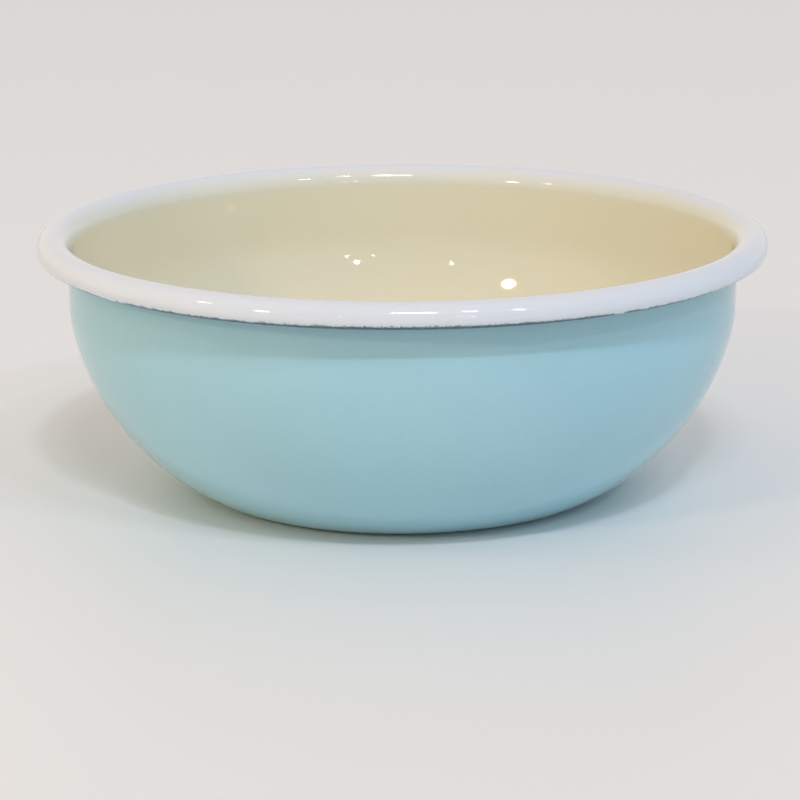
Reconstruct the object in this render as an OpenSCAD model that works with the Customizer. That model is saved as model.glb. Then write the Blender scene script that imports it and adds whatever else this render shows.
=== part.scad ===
// Enamelled basin bowl: a steel pressing with a rolled rim, and the glass coats fused to it.
// The bowl stands on the plane z = 0 with its axis on Z. Lengths are in millimetres, angles in degrees.

/* [Bowl] */
// Outside diameter over the rolled rim
rim_d = 200; // [180:1:230]
// Height from the foot to the top of the rim
height = 72; // [62:1:95]
// Outside diameter of the flat foot, where the heel starts
foot_d = 104; // [80:1:120]
// Outside radius of the heel, between the foot and the belly
heel_r = 13.5; // [8:0.5:18]
// Height of the straight collar, the top of the wall below the rim
collar_h = 14.5; // [6:0.5:22]
// How far the collar leans outward from upright
wall_lean = 0.4; // [0:0.1:6]
// Outside radius of the bend between the collar and the belly
bend_r = 32; // [20:1:45]
// How far the wall's outside faces down where that bend gives way to the belly
bend_tilt = 13; // [8:0.5:20]

/* [Foot] */
// Width of the flat ring that the bowl stands on
foot_ring_w = 8; // [4:0.5:14]
// Depth of the recess that is pressed up inside the ring
recess_h = 1.2; // [0.4:0.1:2.5]
// Outside radius of the two bends at the edge of the recess
recess_bend_r = 4; // [2.5:0.5:8]

/* [Rolled rim] */
// Radius of the finished shoulder, from the collar's inside over to the top of the rim
shoulder_r = 5.4; // [4:0.1:8]
// Radius of the finished crown, from the top of the rim outward
crown_r = 4.1; // [3:0.1:6]
// Radius of the finished curl, which turns down, under and back in
curl_r = 3; // [2.2:0.1:4]
// Where the crown gives way to the curl, round the rim from straight out (0) over the top (90)
curl_from = 13; // [0:1:45]
// Where the curl ends in the sheet's cut edge, counted the same way
curl_to = -150; // [-165:1:-110]

/* [Sheet and coats] */
// Thickness of the steel sheet
steel_t = 0.6; // [0.4:0.05:1]
// Thickness of the ground coat, on each face of the steel
ground_t = 0.12; // [0.1:0.01:0.25]
// Thickness of the coloured cover coat, on each ground coat
cover_t = 0.18; // [0.1:0.01:0.3]
// Where the white coat starts on the shoulder, counted round the rim as the curl is
white_from = 150; // [115:1:165]
// Where the white coat ends under the curl, counted the same way
white_to = -33; // [-80:1:-20]

/* [Hidden] */

// Greatest distance between a true arc and the chords that draw it
chord_error = 0.01;
// Steps of a full turn about the axis
turn_steps = 180;

// Depths below the wall's outside face at which one layer gives way to the next
outer_face = 0;
outer_ground_face = cover_t;
outer_steel_face = outer_ground_face + ground_t;
inner_steel_face = outer_steel_face + steel_t;
inner_ground_face = inner_steel_face + ground_t;
inner_face = inner_ground_face + cover_t;
wall_t = inner_face;

// Directions, and the outward normal of a wall whose outside faces down by a tilt
function direction(a) = [cos(a), sin(a)];
function wall_normal(tilt) = direction(-tilt);

// Rim: shoulder and crown meet at the top, and the roll tightens from each arc to the next
crown_c = [rim_d / 2 - curl_r - (crown_r - curl_r) * cos(curl_from), height - crown_r];
shoulder_c = [crown_c[0], height - shoulder_r];
curl_c = crown_c + (crown_r - curl_r) * direction(curl_from);
lip_angle = 180 - wall_lean;

// Wall: the collar hangs from the shoulder, and the bend below it turns into the belly
collar_top = shoulder_c - (shoulder_r - wall_t) * wall_normal(wall_lean);
collar_end = collar_top - collar_h * [tan(wall_lean), 1];
bend_c = collar_end - bend_r * wall_normal(wall_lean);
bend_end = bend_c + bend_r * wall_normal(bend_tilt);

// The belly is the one arc that runs on from the bend and also runs into the heel without a break
foot_r = foot_d / 2;
heel_c = [foot_r, heel_r];
heel_to_bend = bend_end - heel_c;
belly_r = (heel_to_bend * heel_to_bend - heel_r ^ 2) / 2 / (heel_to_bend * wall_normal(bend_tilt) - heel_r);
belly_c = bend_end - belly_r * wall_normal(bend_tilt);
belly_to_heel = heel_c - belly_c;
heel_tilt = -atan2(belly_to_heel[1], belly_to_heel[0]);

// Recess: two equal bends step the base up inside the foot ring
ring_inner_r = foot_r - foot_ring_w;
recess_turn = acos(1 - recess_h / 2 / recess_bend_r);
recess_upper_bend_c = [ring_inner_r - 2 * recess_bend_r * sin(recess_turn), recess_h - recess_bend_r];
recess_lower_bend_c = [ring_inner_r, recess_bend_r];

// Points of an arc after its start. The steps follow the arc's nominal radius r, so that
// the same arc drawn deeper in the wall, at radius r + grow, has its points on the same rays.
function arc(c, r, grow, from, to) =
    let (steps = ceil(abs(to - from) / (2 * acos(1 - chord_error / r))))
    [for (i = [1:steps]) c + (r + grow) * direction(from + (to - from) * i / steps)];

// Outline of the wall at a depth below its outside face, from the axis out to the collar's top
function wall_line(depth) = concat(
    [[0, recess_h + depth], [recess_upper_bend_c[0], recess_h + depth]],
    arc(recess_upper_bend_c, recess_bend_r, depth, 90, 90 - recess_turn),
    arc(recess_lower_bend_c, recess_bend_r, -depth, 270 - recess_turn, 270),
    [[foot_r, depth]],
    arc(heel_c, heel_r, -depth, -90, -heel_tilt),
    arc(belly_c, belly_r, -depth, -heel_tilt, -bend_tilt),
    arc(bend_c, bend_r, -depth, -bend_tilt, -wall_lean),
    [collar_top - depth * wall_normal(wall_lean)]
);

// The same depth carried round the rim: up the lip, over the part that is white, and under it
function rim_arc(c, r, depth, from, to) = arc(c, r, depth - wall_t, from, to);
function lip_line(depth) = rim_arc(shoulder_c, shoulder_r, depth, lip_angle, white_from);
function white_line(depth) = concat(
    rim_arc(shoulder_c, shoulder_r, depth, white_from, 90),
    rim_arc(crown_c, crown_r, depth, 90, curl_from),
    rim_arc(curl_c, curl_r, depth, curl_from, white_to)
);
function tuck_line(depth) = rim_arc(curl_c, curl_r, depth, white_to, curl_to);
function white_start(depth) = shoulder_c + (shoulder_r + depth - wall_t) * direction(white_from);

// Outlines from the axis to the top of the lip, and on to the sheet's cut edge
function to_lip(depth) = concat(wall_line(depth), lip_line(depth));
function to_cut_edge(depth) = concat(to_lip(depth), white_line(depth), tuck_line(depth));

function reversed(points) = [for (i = [len(points) - 1:-1:0]) points[i]];

// A layer of the wall, turned about the axis from its outer and inner outlines
module layer(outer_line, inner_line)
    rotate_extrude($fn = turn_steps)
        polygon(concat(outer_line, reversed(inner_line)));

// Pressed sheet with its edge rolled outward into a hollow, open curl
module steel_shell()
    color([0.55, 0.56, 0.58])
        layer(to_cut_edge(outer_steel_face), to_cut_edge(inner_steel_face));

// Dark bonding coat on the outside, and on inside the curl to the cut edge
module outer_ground_coat()
    color([0.16, 0.19, 0.24])
        layer(to_cut_edge(outer_ground_face), to_cut_edge(outer_steel_face));

// Dark bonding coat on the inside, over the rim and on to the cut edge
module inner_ground_coat()
    color([0.16, 0.19, 0.24])
        layer(to_cut_edge(inner_steel_face), to_cut_edge(inner_ground_face));

// Turquoise coat on the outside and the underside, up into the hollow of the shoulder
module outer_enamel()
    color([0.55, 0.75, 0.80])
        layer(to_lip(outer_face), to_lip(outer_ground_face));

// Cream coat on the inside, up to the white of the lip
module inner_enamel()
    color([0.87, 0.82, 0.68])
        layer(to_lip(inner_ground_face), to_lip(inner_face));

// White coat over the rim, which stops short of the cut edge and leaves the dark coat bare there
module rim_enamel()
    color([0.93, 0.94, 0.95])
        layer(
            concat([white_start(inner_ground_face)], white_line(inner_ground_face)),
            concat([white_start(inner_face)], white_line(inner_face))
        );

steel_shell();
outer_ground_coat();
inner_ground_coat();
outer_enamel();
inner_enamel();
rim_enamel();
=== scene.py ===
"""Enamelled basin bowl: the fired coats and their finish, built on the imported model.
Lengths are in metres."""
import math

import bpy
import numpy as np
from mathutils import Matrix, Vector, noise


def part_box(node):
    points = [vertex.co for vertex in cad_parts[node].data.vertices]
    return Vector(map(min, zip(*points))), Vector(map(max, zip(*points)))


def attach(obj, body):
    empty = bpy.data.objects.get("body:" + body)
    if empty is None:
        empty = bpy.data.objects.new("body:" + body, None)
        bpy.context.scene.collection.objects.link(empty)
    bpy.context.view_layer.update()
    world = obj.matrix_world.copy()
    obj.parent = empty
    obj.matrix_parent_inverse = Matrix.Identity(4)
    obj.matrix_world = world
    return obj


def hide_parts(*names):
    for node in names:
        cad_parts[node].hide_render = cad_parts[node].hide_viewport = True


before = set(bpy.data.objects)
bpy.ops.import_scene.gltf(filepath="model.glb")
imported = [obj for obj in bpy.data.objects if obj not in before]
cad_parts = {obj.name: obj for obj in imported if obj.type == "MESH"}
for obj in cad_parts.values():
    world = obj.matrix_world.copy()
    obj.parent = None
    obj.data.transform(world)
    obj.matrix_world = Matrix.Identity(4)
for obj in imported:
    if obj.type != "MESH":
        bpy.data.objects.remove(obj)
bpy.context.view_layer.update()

MM = 0.001

# Bowl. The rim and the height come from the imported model, to a tenth of a millimetre,
# and the rest repeats the part's own sizes.
size_digits = 4
rim_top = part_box("rim_enamel")[1]
rim_r = round(rim_top.x, size_digits)
height = round(rim_top.z, size_digits)
foot_r = 52 * MM
heel_r = 13.5 * MM
collar_h = 14.5 * MM
wall_lean = math.radians(0.4)
bend_r = 32 * MM
bend_tilt = math.radians(13)

# Foot
foot_ring_w = 8 * MM
recess_h = 1.2 * MM
recess_bend_r = 4 * MM

# Rolled rim. Angles run round it from straight out (0) over the top (90).
shoulder_r = 5.4 * MM
crown_r = 4.1 * MM
curl_r = 3 * MM
curl_from = math.radians(13)
curl_to = math.radians(-150)
white_from = math.radians(150)
white_to = math.radians(-33)
# How much further round the white's ragged edge lies, on the whole, than the even edge of its solid
white_sag = math.radians(-14)

# Sheet and coats
steel_t = 0.6 * MM
ground_t = 0.12 * MM
cover_t = 0.18 * MM
inner_steel_depth = cover_t + ground_t + steel_t
inner_ground_depth = inner_steel_depth + ground_t
wall_t = inner_ground_depth + cover_t

# How far the fired surface wanders from its nominal place, over what lengths,
# and how strong its short bends are beside the long ones
wander_depth = 0.03 * MM
wander_slow = 1 / (28 * MM)
wander_fast = 1 / (9 * MM)
wander_fast_share = 0.35

# Ragged lower edge of the white coat: how far it strays, and over what lengths
edge_stray = (
    (math.radians(3), 45 * MM),
    (math.radians(2.5), 5 * MM),
    (math.radians(4), 1.5 * MM),
)
# Gain that brings its noise to about -1 to 1, and the step in the noise from one length to the next
stray_gain = 1.6
stray_seed_step = 7.3
# Where the edge departs further: the azimuth, the half width and where the white ends there.
# It is wiped off higher towards the camera, runs lower in two places and has one small chip.
edge_marks = tuple(
    tuple(math.radians(angle) for angle in mark)
    for mark in ((2, 42, -39), (33, 1.6, -60), (-48, 4.5, -58), (-46.6, 0.4, -38))
)
# How the coat thins out towards that edge, and how far back it lets the dark coat show
edge_taper = 0.55 * MM
edge_least_t = 0.02 * MM
thin_reach = 1.4 * MM

# Heights between which the white of the lip gives way to the cream: a share of it fast, the rest slowly
fast_fade = (height - 1.8 * MM, height - 0.3 * MM)
slow_fade = (height - 7.4 * MM, height - 0.8 * MM)
fast_share = 0.38

# Steps round the axis, lengths of the steps along the wall, and the fewest steps of an arc
rim_turns = 1500
coat_turns = 360
wall_step = 0.9 * MM
back_step = 3 * MM
arc_least = 4

# Steps round the rim: of the dark coat, of the coats that end at the lip, and of the white
rim_steps = 80
lip_steps = 8
lip_face_steps = 12
white_taper_steps = 12
white_face_steps = 34
white_back_steps = 15

# Edges that turn by more than this are shaded sharp
crease = math.radians(35)


# Section of the wall

def direction(angle):
    return np.array([math.cos(angle), math.sin(angle)])


def wall_normal(tilt):
    """Outward normal of a wall whose outside faces down by a tilt."""
    return direction(-tilt)


# The rim's shoulder and crown meet at the top, and the roll tightens from each arc to the next
crown_c = np.array([rim_r - curl_r - (crown_r - curl_r) * math.cos(curl_from), height - crown_r])
shoulder_c = np.array([crown_c[0], height - shoulder_r])
curl_c = crown_c + (crown_r - curl_r) * direction(curl_from)
lip_angle = math.pi - wall_lean

# The collar hangs from the shoulder, and the bend below it turns into the belly
collar_top = shoulder_c - (shoulder_r - wall_t) * wall_normal(wall_lean)
collar_end = collar_top - collar_h * np.array([math.tan(wall_lean), 1])
bend_c = collar_end - bend_r * wall_normal(wall_lean)
bend_end = bend_c + bend_r * wall_normal(bend_tilt)

# The belly is the one arc that runs on from the bend and also runs into the heel without a break
heel_c = np.array([foot_r, heel_r])
heel_to_bend = bend_end - heel_c
belly_r = (
    (heel_to_bend @ heel_to_bend - heel_r ** 2) / 2
    / (heel_to_bend @ wall_normal(bend_tilt) - heel_r)
)
belly_c = bend_end - belly_r * wall_normal(bend_tilt)
heel_tilt = -math.atan2(heel_c[1] - belly_c[1], heel_c[0] - belly_c[0])

# Two equal bends step the base up inside the foot ring
ring_inner_r = foot_r - foot_ring_w
recess_turn = math.acos(1 - recess_h / 2 / recess_bend_r)
recess_upper_c = np.array([
    ring_inner_r - 2 * recess_bend_r * math.sin(recess_turn),
    recess_h - recess_bend_r,
])
recess_lower_c = np.array([ring_inner_r, recess_bend_r])


def line(start, end, step):
    """Points of a straight stretch after its start."""
    start = np.array(start)
    end = np.array(end)
    count = max(1, math.ceil(np.linalg.norm(end - start) / step))
    return [start + (end - start) * i / count for i in range(1, count + 1)]


def arc(centre, radius, start, end, step):
    """Points of an arc after its start."""
    count = max(arc_least, math.ceil(abs(end - start) * radius / step))
    return [centre + radius * direction(start + (end - start) * i / count) for i in range(1, count + 1)]


def wall_line(depth, step):
    """Outline of the wall at a depth below its outside face, from the axis out to the wall's top."""
    base = [0, recess_h + depth]
    lean_out = wall_normal(wall_lean)
    return [
        np.array(base),
        *line(base, [recess_upper_c[0], base[1]], step),
        *arc(recess_upper_c, recess_bend_r + depth, math.pi / 2, math.pi / 2 - recess_turn, step),
        *arc(recess_lower_c, recess_bend_r - depth, math.pi * 1.5 - recess_turn, math.pi * 1.5, step),
        *line([ring_inner_r, depth], [foot_r, depth], step),
        *arc(heel_c, heel_r - depth, -math.pi / 2, -heel_tilt, step),
        *arc(belly_c, belly_r - depth, -heel_tilt, -bend_tilt, step),
        *arc(bend_c, bend_r - depth, -bend_tilt, -wall_lean, step),
        *line(collar_end - depth * lean_out, collar_top - depth * lean_out, step),
    ]


def rim_point(angle, depth):
    """Point of the rolled rim at a depth in the wall, where the rim faces an angle."""
    if angle > math.pi / 2:
        centre, radius = shoulder_c, shoulder_r
    elif angle > curl_from:
        centre, radius = crown_c, crown_r
    else:
        centre, radius = curl_c, curl_r
    return centre + (radius + depth - wall_t) * direction(angle)


def spread(start, end, count):
    """Angles after a start, which crowd towards both ends, so that coats meet flush there."""
    return [start + (end - start) * (1 - math.cos(math.pi * i / count)) / 2 for i in range(1, count + 1)]


def rim_line(depth, start, end, count):
    """A depth of the wall carried round the rim."""
    return [rim_point(angle, depth) for angle in spread(start, end, count)]


# Solids of revolution

def wander(point):
    """Small departure of a fired surface from its nominal place, the same for all coats at one point."""
    slow = noise.noise(point * wander_slow)
    fast = noise.noise(point * wander_fast)
    return wander_depth * (slow + wander_fast_share * fast)


def faces_round(index, closed):
    """Faces between each loop of vertices and the next, with triangles where loops meet on the axis."""
    after = np.roll(index, -1, axis=0)
    count = index.shape[1]
    faces = []
    for j in range(count if closed else count - 1):
        k = (j + 1) % count
        for a, b, c, d in zip(index[:, j], after[:, j], after[:, k], index[:, k]):
            if a == b:
                faces.append((a, c, d))
            elif c == d:
                faces.append((a, b, c))
            else:
                faces.append((a, b, c, d))
    return faces


def revolve(name, sections, normals):
    """Turns a closed section about the Z axis. sections holds the loop of (radius, height) points
    at each azimuth, and normals the way in which each point wanders. A loop that starts and ends
    on the axis has one vertex at each of those two points."""
    turns, count, _ = sections.shape
    azimuths = np.arange(turns) * 2 * math.pi / turns
    around = np.stack([np.sin(azimuths), -np.cos(azimuths)], axis=1)

    def in_space(section):
        level = section[:, :, :1] * around[:, None, :]
        return np.concatenate([level, section[:, :, 1:]], axis=2)

    verts = in_space(sections)
    shift = np.array([[wander(Vector(p)) for p in row] for row in verts])
    verts += shift[:, :, None] * in_space(normals)

    index = np.arange(turns * count).reshape(turns, count)
    on_axis = sections[0, 0, 0] == 0
    if on_axis:
        index[:, 0] = index[0, 0]
        index[:, -1] = index[0, -1]
    faces = faces_round(index, not on_axis)

    used = np.unique(index)
    renumber = np.zeros(turns * count, dtype=int)
    renumber[used] = np.arange(len(used))
    mesh = bpy.data.meshes.new(name)
    mesh.from_pydata(verts.reshape(-1, 3)[used].tolist(), [], [tuple(renumber[list(f)]) for f in faces])
    mesh.update()
    mesh.shade_smooth()
    mesh.set_sharp_from_angle(angle=crease)
    piece = bpy.data.objects.new(name, mesh)
    bpy.context.scene.collection.objects.link(piece)
    return piece


def same_all_round(outline):
    return np.repeat(np.array(outline)[None], coat_turns, axis=0)


def facing_out(outline):
    """Unit normals of an outline that runs from the axis outward, on the side away from
    the bowl's inside."""
    along = np.gradient(np.array(outline), axis=0)
    along /= np.linalg.norm(along, axis=1, keepdims=True)
    return np.stack([along[:, 1], -along[:, 0]], axis=1)


def finished(piece, node, material):
    """A piece with its material, on the bowl's body and in the place of a CAD node."""
    piece.data.materials.append(material)
    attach(piece, "root")
    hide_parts(node)
    return piece


def coat(name, node, outside, inside, side, material):
    """An even coat between two outlines that both run from the axis outward. side is 1 on the
    bowl's outside and -1 on its inside."""
    loop = outside + inside[::-1]
    normals = side * np.concatenate([facing_out(outside), facing_out(inside)[::-1]])
    piece = revolve(name, same_all_round(loop), same_all_round(normals))
    return finished(piece, node, material)


# Nodes of a material

# Sockets of a mix node that blends two colours
mix_share = 0
mix_first = 6
mix_second = 7
mix_result = 2


def add(tree, kind, inputs=None, **settings):
    """A new node, with its settings and the values or links of its inputs."""
    node = tree.nodes.new(kind)
    for key, value in settings.items():
        setattr(node, key, value)
    for key, value in (inputs or {}).items():
        if isinstance(value, bpy.types.NodeSocket):
            tree.links.new(value, node.inputs[key])
        else:
            node.inputs[key].default_value = value
    return node


def place(tree):
    """Where a point lies in the frame that all pieces share."""
    return add(tree, "ShaderNodeTexCoord").outputs["Object"]


def cloud(tree, size, detail=2.0, roughness=0.5):
    """Noise with features of about that size, from 0 to 1 and mostly near the middle."""
    inputs = {"Vector": place(tree), "Scale": 1 / size, "Detail": detail, "Roughness": roughness}
    return add(tree, "ShaderNodeTexNoise", inputs).outputs["Fac"]


def remap(tree, value, low, high, to_low=0.0, to_high=1.0, smooth=False):
    """A value carried from one range to another, and held at its ends."""
    inputs = {"Value": value, "From Min": low, "From Max": high, "To Min": to_low, "To Max": to_high}
    kind = "SMOOTHSTEP" if smooth else "LINEAR"
    return add(tree, "ShaderNodeMapRange", inputs, interpolation_type=kind, clamp=True).outputs["Result"]


def blend_colors(tree, share, first, second):
    inputs = {mix_share: share, mix_first: first, mix_second: second}
    return add(tree, "ShaderNodeMix", inputs, data_type="RGBA").outputs[mix_result]


def maths(tree, how, first, second=0.0):
    return add(tree, "ShaderNodeMath", {0: first, 1: second}, operation=how).outputs[0]


def linear(r, g, b):
    """A colour written as it looks on screen, 0 to 255, as the light it stands for."""
    def one(v):
        v /= 255
        return v / 12.92 if v <= 0.04045 else ((v + 0.055) / 1.055) ** 2.4
    return one(r), one(g), one(b), 1.0


def scaled(color, factor):
    return tuple(c * factor for c in color[:3]) + (1.0,)


def new_material(name):
    material = bpy.data.materials.new(name)
    material.use_nodes = True
    tree = material.node_tree
    return material, tree, tree.nodes["Principled BSDF"]


# Materials

turquoise = linear(168, 212, 225)
cream = linear(232, 227, 205)
white = linear(225, 229, 237)
ground = linear(74, 90, 103)
ground_through_white = scaled(ground, 1.4)
ground_speck = scaled(ground, 2.0)
scuff = linear(120, 128, 130)
bare_steel = linear(150, 152, 156)
mill_scale = linear(96, 92, 88)

# Parts of the range of a noise that are drawn out to the whole
noise_wide = (0.3, 0.7)
noise_narrow = (0.35, 0.65)

# Fired glass: the sizes of its changes of polish and of its orange peel, the depth of the peel,
# and its refractive index
polish_size = 14 * MM
peel_size = 2.2 * MM
peel_depth = 0.004 * MM
glass_ior = 1.52

# Roughness of each surface, at its smoothest and at its roughest
turquoise_roughness = (0.05, 0.09)
pale_roughness = (0.045, 0.08)
ground_roughness = (0.18, 0.35)
steel_roughness = (0.35, 0.6)

# Changes of tone in a fired colour: their sizes, the share of the slow ones,
# and how far each colour swings
tone_slow_size = 38 * MM
tone_fine_size = 1.6 * MM
tone_slow_share = 0.6
turquoise_swing = 0.025
cream_swing = 0.02
white_swing = 0.012

# Scratches on the foot ring: their size along, across and in height, the two ways in which they run,
# the part of a noise that shows them, the heights between which they fade, and how strong they are
scratch_size = (9 * MM, 0.4 * MM, 9 * MM)
scratch_turns = (math.radians(25), math.radians(110))
scratch_range = (0.58, 0.72)
scratch_fade = (0.05 * MM, 0.3 * MM)
scratch_share = 0.5

# How far the change from white to cream strays up and down the lip, and over what length
lip_stray = 0.5 * MM
lip_stray_size = 12 * MM

# Dark specks in the white: their size, how much they add to its thinness, and the two sums
# between which the white turns dark
dark_speck_size = 1.1 * MM
dark_speck_share = 0.6
dark_range = (0.75, 1.25)

# Pale specks in the ground coat: their size, and the part of a noise that shows them
pale_speck_size = 0.5 * MM
pale_speck_range = (0.52, 0.7)

# Size of the patches of scale on the steel
mill_scale_size = 3 * MM


def fired_glass(tree, shader, roughness):
    """Gloss of fired enamel: a soft orange peel and small changes of polish."""
    polish = remap(tree, cloud(tree, polish_size, detail=3.0), *noise_narrow, *roughness)
    tree.links.new(polish, shader.inputs["Roughness"])
    peel = cloud(tree, peel_size, detail=1.5)
    bump = add(tree, "ShaderNodeBump", {"Height": peel, "Strength": 1.0, "Distance": peel_depth})
    tree.links.new(bump.outputs["Normal"], shader.inputs["Normal"])
    shader.inputs["IOR"].default_value = glass_ior


def mottled(tree, color, swing):
    """A fired colour with slow and fine changes of tone."""
    slow = remap(tree, cloud(tree, tone_slow_size), *noise_wide)
    fine = remap(tree, cloud(tree, tone_fine_size, detail=3.0, roughness=0.6), *noise_wide)
    slow_part = maths(tree, "MULTIPLY", slow, tone_slow_share)
    fine_part = maths(tree, "MULTIPLY", fine, 1 - tone_slow_share)
    tone = maths(tree, "ADD", slow_part, fine_part)
    return blend_colors(tree, tone, scaled(color, 1 - swing), scaled(color, 1 + swing))


def scratches(tree, turn):
    """Straight scratches along one level direction, from 0 to 1."""
    inputs = {"Vector": place(tree), "Rotation": (0, 0, turn), "Scale": scratch_size}
    stretched = add(tree, "ShaderNodeMapping", inputs, vector_type="TEXTURE").outputs["Vector"]
    inputs = {"Vector": stretched, "Scale": 1.0, "Detail": 2.0}
    scratch = add(tree, "ShaderNodeTexNoise", inputs).outputs["Fac"]
    return remap(tree, scratch, *scratch_range)


def turquoise_enamel():
    """Turquoise, with grey scuffs where the foot ring has slid on a table."""
    material, tree, shader = new_material("turquoise_enamel")
    color = mottled(tree, turquoise, turquoise_swing)
    up = add(tree, "ShaderNodeSeparateXYZ", {"Vector": place(tree)}).outputs["Z"]
    at_foot = remap(tree, up, *scratch_fade, 1.0, 0.0)
    both_ways = maths(tree, "MAXIMUM", *(scratches(tree, turn) for turn in scratch_turns))
    worn = maths(tree, "MULTIPLY", maths(tree, "MULTIPLY", at_foot, both_ways), scratch_share)
    color = blend_colors(tree, worn, color, scuff)
    tree.links.new(color, shader.inputs["Base Color"])
    fired_glass(tree, shader, turquoise_roughness)
    return material


def lip_color(tree):
    """White of the rim, which runs slowly into the cream on the way down the lip."""
    parts = add(tree, "ShaderNodeSeparateXYZ", {"Vector": place(tree)}).outputs
    squares = [maths(tree, "POWER", parts[axis], 2) for axis in ("X", "Y")]
    reach = maths(tree, "SQRT", maths(tree, "ADD", *squares))
    outside = maths(tree, "GREATER_THAN", reach, crown_c[0])
    ragged = remap(tree, cloud(tree, lip_stray_size, detail=3.0), *noise_wide, -lip_stray, lip_stray)
    level = maths(tree, "ADD", parts["Z"], ragged)
    fast = remap(tree, level, *fast_fade, 0.0, fast_share, smooth=True)
    slow = remap(tree, level, *slow_fade, 0.0, 1 - fast_share)
    whiteness = maths(tree, "MAXIMUM", maths(tree, "ADD", fast, slow), outside)
    low_color = mottled(tree, cream, cream_swing)
    high_color = mottled(tree, white, white_swing)
    return blend_colors(tree, whiteness, low_color, high_color)


def cream_enamel():
    material, tree, shader = new_material("cream_enamel")
    tree.links.new(lip_color(tree), shader.inputs["Base Color"])
    fired_glass(tree, shader, pale_roughness)
    return material


def white_enamel():
    """White that thins out at its lower edge, where the dark coat shows through in specks."""
    material, tree, shader = new_material("white_enamel")
    thin = add(tree, "ShaderNodeAttribute", attribute_name="thinness").outputs["Fac"]
    grain = cloud(tree, dark_speck_size, detail=3.0, roughness=0.65)
    specks = remap(tree, grain, *noise_wide, 0.0, dark_speck_share)
    dark = remap(tree, maths(tree, "ADD", specks, thin), *dark_range)
    color = blend_colors(tree, dark, lip_color(tree), ground_through_white)
    tree.links.new(color, shader.inputs["Base Color"])
    fired_glass(tree, shader, pale_roughness)
    return material


def ground_enamel():
    material, tree, shader = new_material("ground_enamel")
    specks = remap(tree, cloud(tree, pale_speck_size, detail=4.0, roughness=0.7), *pale_speck_range)
    color = blend_colors(tree, specks, ground, ground_speck)
    tree.links.new(color, shader.inputs["Base Color"])
    fired_glass(tree, shader, ground_roughness)
    return material


def pressed_steel():
    material, tree, shader = new_material("pressed_steel")
    patches = remap(tree, cloud(tree, mill_scale_size, detail=5.0, roughness=0.65), *noise_narrow)
    color = blend_colors(tree, patches, bare_steel, mill_scale)
    tree.links.new(color, shader.inputs["Base Color"])
    tree.links.new(remap(tree, patches, 0.0, 1.0, *steel_roughness), shader.inputs["Roughness"])
    shader.inputs["Metallic"].default_value = 1.0
    return material


# Pieces

def stray(azimuth, length, seed):
    """Smooth noise round the rim, from about -1 to 1, with bends of about that length."""
    reach = rim_r / length
    return stray_gain * noise.noise(Vector((reach * math.sin(azimuth), reach * math.cos(azimuth), seed)))


def bump_share(azimuth, centre, half_width):
    """1 at a centre, falling smoothly to 0 at the half width."""
    off = abs(math.remainder(azimuth - centre, 2 * math.pi)) / half_width
    return 0.0 if off >= 1 else (1 - off ** 2) ** 2


def white_edge(azimuth):
    """Where the white coat ends under the bead at an azimuth from the camera's side towards +X."""
    end = white_to + white_sag
    for seed, (reach, length) in enumerate(edge_stray):
        end += reach * stray(azimuth, length, stray_seed_step * (seed + 1))
    for centre, half_width, reached in edge_marks:
        end += (reached - end) * bump_share(azimuth, centre, half_width)
    return end


def white_loop(end):
    """Section of the white coat that ends at an angle: angles round the rim and depths in the wall."""
    whole_from = end + edge_taper / curl_r
    front = []
    for j in range(white_taper_steps):
        share = 1 - math.cos(math.pi / 2 * j / white_taper_steps)
        thick = edge_least_t + (cover_t - edge_least_t) * math.sqrt(1 - (1 - share) ** 2)
        front.append((end + (whole_from - end) * share, inner_ground_depth + thick))
    over = [whole_from] + spread(whole_from, white_from, white_face_steps)
    front += [(angle, wall_t) for angle in over]
    under = [white_from + (end - white_from) * j / white_back_steps for j in range(white_back_steps + 1)]
    return front + [(angle, inner_ground_depth) for angle in under]


def white_rim(material):
    """White coat over the rim, with its lower edge ragged and thinning out."""
    sections = []
    normals = []
    thinness = []
    for i in range(rim_turns):
        end = white_edge(2 * math.pi * i / rim_turns)
        loop = white_loop(end)
        sections.append([rim_point(angle, depth) for angle, depth in loop])
        normals.append([direction(angle) for angle, _ in loop])
        thinness.append([max(0.0, 1 - (angle - end) * curl_r / thin_reach) for angle, _ in loop])
    piece = revolve("white_rim_coat", np.array(sections), np.array(normals))
    layer = piece.data.attributes.new("thinness", "FLOAT", "POINT")
    layer.data.foreach_set("value", np.array(thinness, dtype=np.float32).ravel())
    return finished(piece, "rim_enamel", material)


def dark_rim(material):
    """Ground coat under the cream and the white, bare from the white's edge to the curl's cut edge."""
    steel_side, glass_side = (
        wall_line(depth, back_step) + rim_line(depth, lip_angle, curl_to, rim_steps)
        for depth in (inner_steel_depth, inner_ground_depth)
    )
    return coat(
        "dark_ground_coat", "inner_ground_coat", steel_side, glass_side, -1, material
    )


def turquoise_coat(material):
    face = wall_line(0, wall_step) + rim_line(0, lip_angle, white_from, lip_steps)
    back = wall_line(cover_t, back_step) + rim_line(cover_t, lip_angle, white_from, lip_steps)
    return coat("turquoise_outer_coat", "outer_enamel", face, back, 1, material)


def cream_coat(material):
    depth = inner_ground_depth
    back = wall_line(depth, back_step) + rim_line(depth, lip_angle, white_from, lip_steps)
    face = wall_line(wall_t, wall_step) + rim_line(wall_t, lip_angle, white_from, lip_face_steps)
    return coat("cream_inner_coat", "inner_enamel", back, face, -1, material)


dark_coat = ground_enamel()
turquoise_coat(turquoise_enamel())
cream_coat(cream_enamel())
white_rim(white_enamel())
dark_rim(dark_coat)
for node, material in (("steel_shell", pressed_steel()), ("outer_ground_coat", dark_coat)):
    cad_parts[node].data.materials.clear()
    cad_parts[node].data.materials.append(material)


# Stage. The floor lies just below the foot, whose fired surface wanders.

floor_half = 6.0
floor_drop = 0.1 * MM
floor_color = linear(240, 240, 240)
floor_roughness = 0.47

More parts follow.
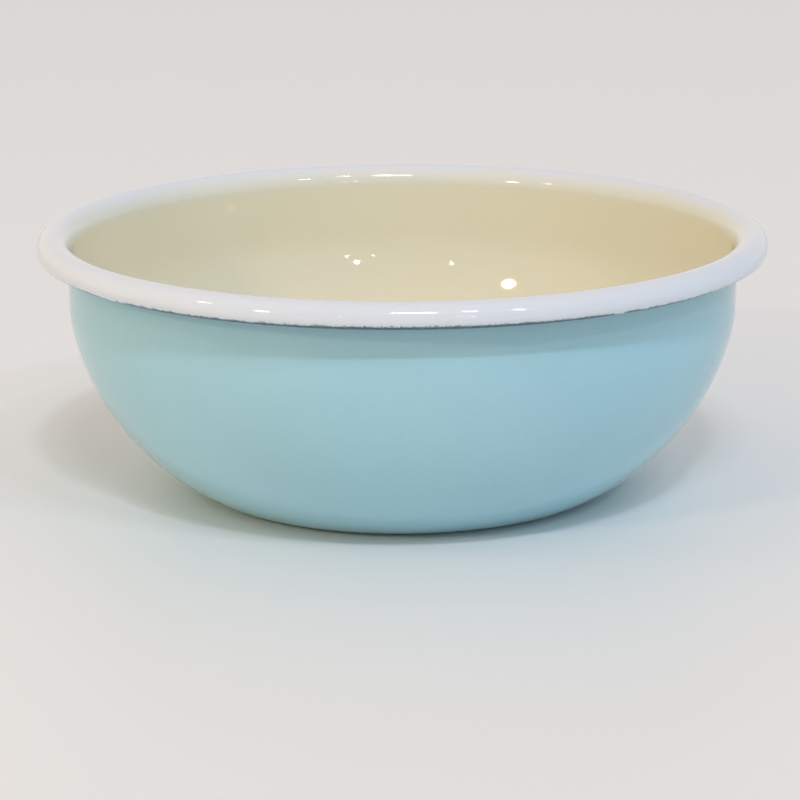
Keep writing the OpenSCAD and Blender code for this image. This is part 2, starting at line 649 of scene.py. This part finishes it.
# Light from above, and the light along the horizon from each side with the axis and way it comes from
sky_above = (0.65, 0.59, 0.58)
sky_left = (1.03, 0.86, 0.56)
sky_right = (0.56, 0.78, 0.85)
sky_before = (0.16, 0.29, 0.29)
sky_behind = (0.91, 0.85, 0.77)
sky_sides = (
    (sky_left, "X", -1),
    (sky_right, "X", 1),
    (sky_before, "Y", -1),
    (sky_behind, "Y", 1),
)


def floor():
    mesh = bpy.data.meshes.new("floor")
    signs = ((-1, -1), (1, -1), (1, 1), (-1, 1))
    corners = [(floor_half * x, floor_half * y, -floor_drop) for x, y in signs]
    mesh.from_pydata(corners, [], [(0, 1, 2, 3)])
    plane = bpy.data.objects.new("floor", mesh)
    bpy.context.scene.collection.objects.link(plane)
    material, _, shader = new_material("floor")
    shader.inputs["Base Color"].default_value = floor_color
    shader.inputs["Roughness"].default_value = floor_roughness
    mesh.materials.append(material)


def dimmed(tree, color, share):
    return add(tree, "ShaderNodeVectorMath", {0: color, "Scale": share}, operation="SCALE").outputs[0]


def sky():
    """Light from all round: from above, and along the horizon from each of four sides."""
    world = bpy.data.worlds.new("sky")
    world.use_nodes = True
    tree = world.node_tree
    toward = add(tree, "ShaderNodeTexCoord").outputs["Generated"]
    parts = add(tree, "ShaderNodeSeparateXYZ", {"Vector": toward}).outputs
    height_share = remap(tree, parts["Z"], 0.0, 1.0)
    glow = dimmed(tree, sky_above, height_share)
    low_share = maths(tree, "SUBTRACT", 1.0, height_share)
    for color, axis, sign in sky_sides:
        facing = maths(tree, "MAXIMUM", maths(tree, "MULTIPLY", parts[axis], sign), 0.0)
        share = maths(tree, "MULTIPLY", maths(tree, "MULTIPLY", facing, facing), low_share)
        part = dimmed(tree, color, share)
        glow = add(tree, "ShaderNodeVectorMath", {0: glow, 1: part}, operation="ADD").outputs[0]
    tree.links.new(glow, tree.nodes["Background"].inputs["Color"])
    bpy.context.scene.world = world


# Lamps stand about the bowl. Two warm ones are near it on the left, two cool ones in front
# are the main light, two more follow on the right, and four small ones in front add little
# but their reflections.

warm = (1.0, 0.74, 0.40)
neutral = (1.0, 0.97, 0.93)
cool = (0.80, 0.87, 1.0)
aim = Vector((0, 0, height))

# Azimuth from the camera's side towards +X, elevation, distance, width, height, strength and colour
lamp_rows = (
    (-64, 33, 0.54, 3.6, 3.6, 0.14, warm),
    (-43.8, 25.6, 1.86, 4.5, 4.0, 0.41, warm),
    (-0.5, 51, 20, 4.5, 1.8, 0.24, cool),
    (8.5, 51, 20, 5.0, 1.8, 0.54, cool),
    (26.1, 51, 20, 3.2, 3.2, 0.15, cool),
    (42.0, 42, 20, 4.6, 2.6, 0.21, cool),
    (-19, 18.7, 20, 1.3, 1.3, 0.012, neutral),
    (17.5, 18, 20, 1.8, 1.8, 0.025, neutral),
    (21, 14.5, 20, 1.0, 1.0, 0.012, neutral),
    (11, 14.5, 20, 1.0, 1.0, 0.005, neutral),
)


def lamp(name, azimuth, elevation, distance, across, tall, strength, color):
    """An oval lamp. Angles are in degrees: across and tall are its width and height as seen from
    the bowl. strength is the light that reaches the bowl."""
    data = bpy.data.lights.new(name, "AREA")
    data.shape = "ELLIPSE"
    data.size = 2 * distance * math.tan(math.radians(across) / 2)
    data.size_y = 2 * distance * math.tan(math.radians(tall) / 2)
    data.energy = strength * math.pi * distance ** 2
    data.color = color
    oval = bpy.data.objects.new(name, data)
    a = math.radians(azimuth)
    e = math.radians(elevation)
    away = Vector((math.cos(e) * math.sin(a), -math.cos(e) * math.cos(a), math.sin(e)))
    turn = away.to_track_quat("Z", "Y").to_matrix().to_4x4()
    oval.matrix_world = Matrix.Translation(aim + distance * away) @ turn
    bpy.context.scene.collection.objects.link(oval)


def lamps():
    for i, row in enumerate(lamp_rows):
        lamp(f"lamp_{i}", *row)


# Camera: where it stood, how far it looked down, and its small turns about the upright
# and about its own view. The lens and the sensor are in millimetres.

camera_place = Vector((0, -0.7959, 0.23025))
camera_down = math.radians(14.64)
camera_turn = math.radians(0.06)
camera_roll = math.radians(-0.256)
camera_lens = 132.66
camera_sensor = 36
camera_near = 0.02


def camera():
    data = bpy.data.cameras.new("camera")
    data.sensor_width = camera_sensor
    data.lens = camera_lens
    data.clip_start = camera_near
    eye = bpy.data.objects.new("camera", data)
    turn = Matrix.Rotation(camera_turn, 4, "Z")
    down = Matrix.Rotation(math.pi / 2 - camera_down, 4, "X")
    roll = Matrix.Rotation(camera_roll, 4, "Z")
    eye.matrix_world = Matrix.Translation(camera_place) @ turn @ down @ roll
    bpy.context.scene.collection.objects.link(eye)
    bpy.context.scene.camera = eye


floor()
sky()
lamps()
camera()
bpy.context.scene.view_settings.view_transform = "Standard"
